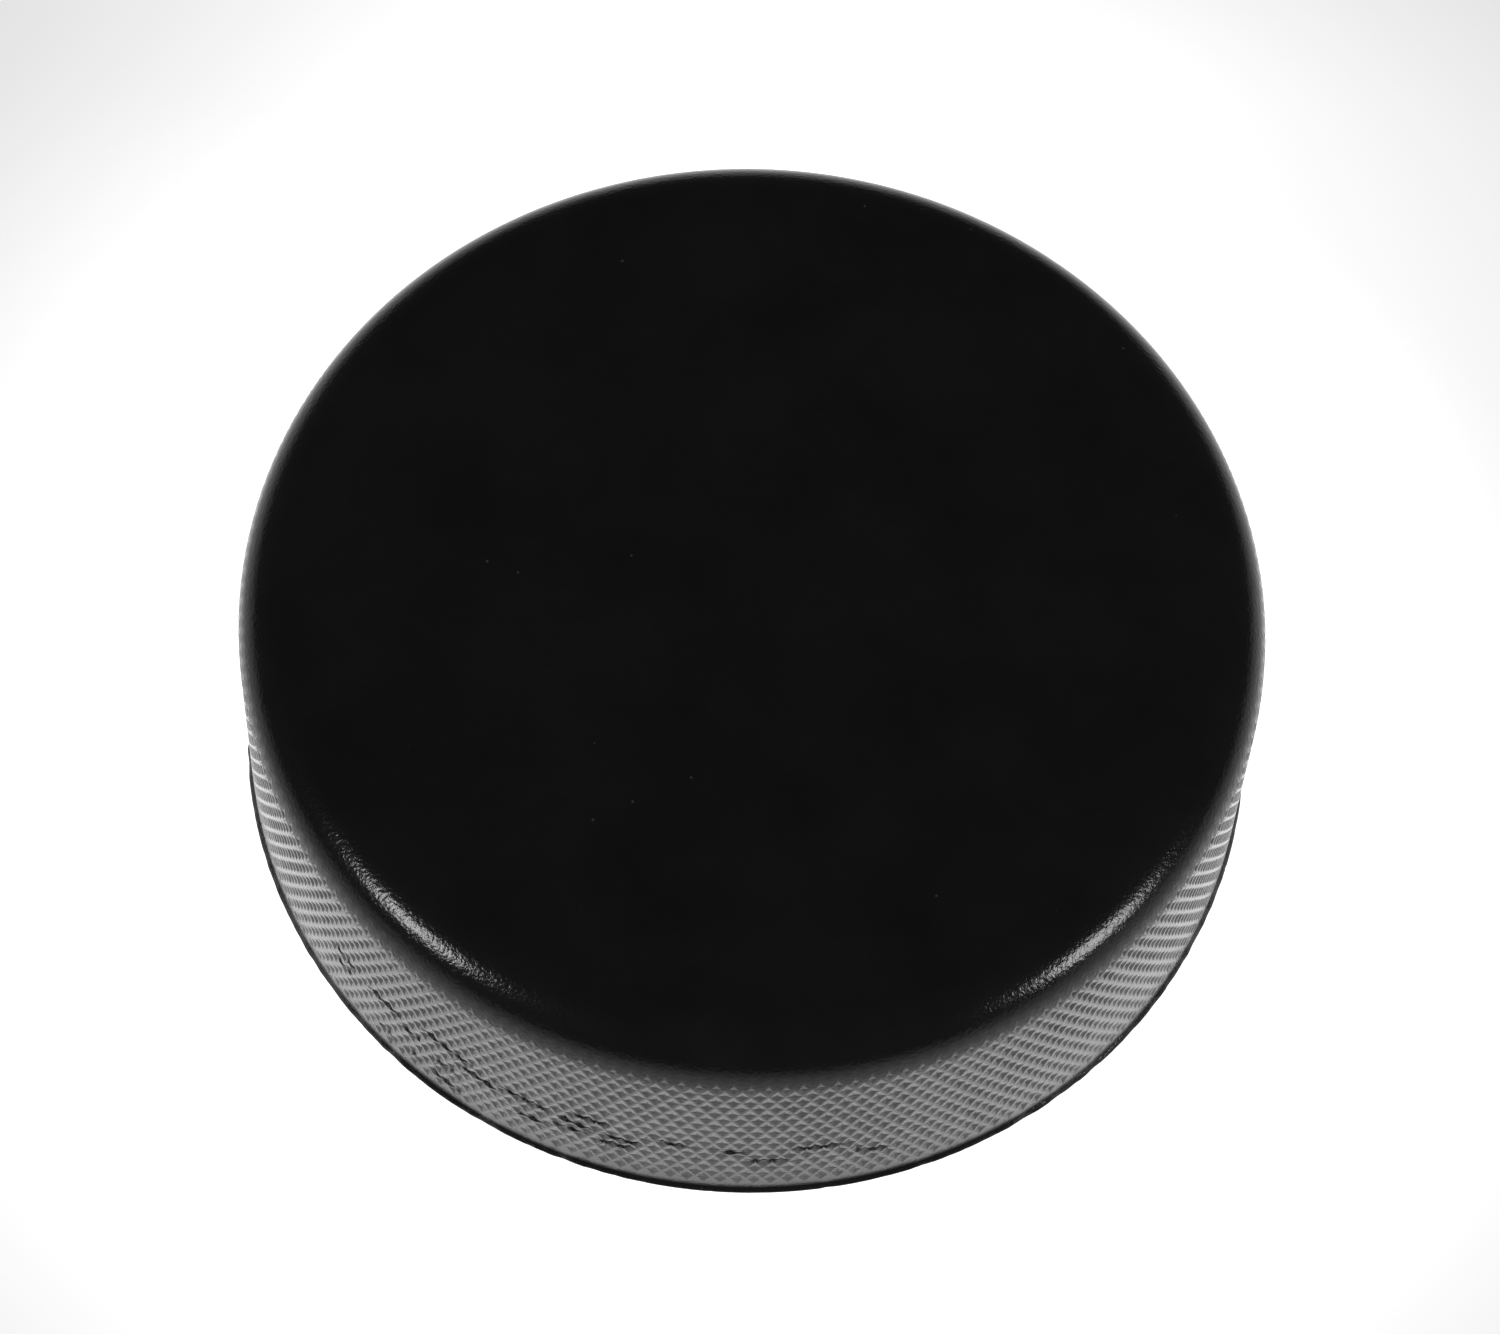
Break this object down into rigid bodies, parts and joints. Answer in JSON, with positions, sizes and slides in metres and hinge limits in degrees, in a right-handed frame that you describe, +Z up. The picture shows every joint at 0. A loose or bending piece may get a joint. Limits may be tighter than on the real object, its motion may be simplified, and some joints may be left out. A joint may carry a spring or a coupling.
{
  "type": "hockey puck",
  "caption": "Solid round disc of black vulcanised rubber with flat faces, rounded rims and a diamond-knurled side, made to slide on ice.",
  "frame": {"origin": "centre of the bottom flat face, which is the face next to the mould's parting line", "axes": "+Z up along the puck's axis of revolution; X and Y are any two square directions across the face"},
  "size_m": [0.0768, 0.0768, 0.0254],
  "materials": {
    "rubber": "semi-matt vulcanised rubber, with a diamond knurl around the side"
  },
  "bodies": {
    "root": {"puck_body": "rubber"}
  },
  "joints": []
}
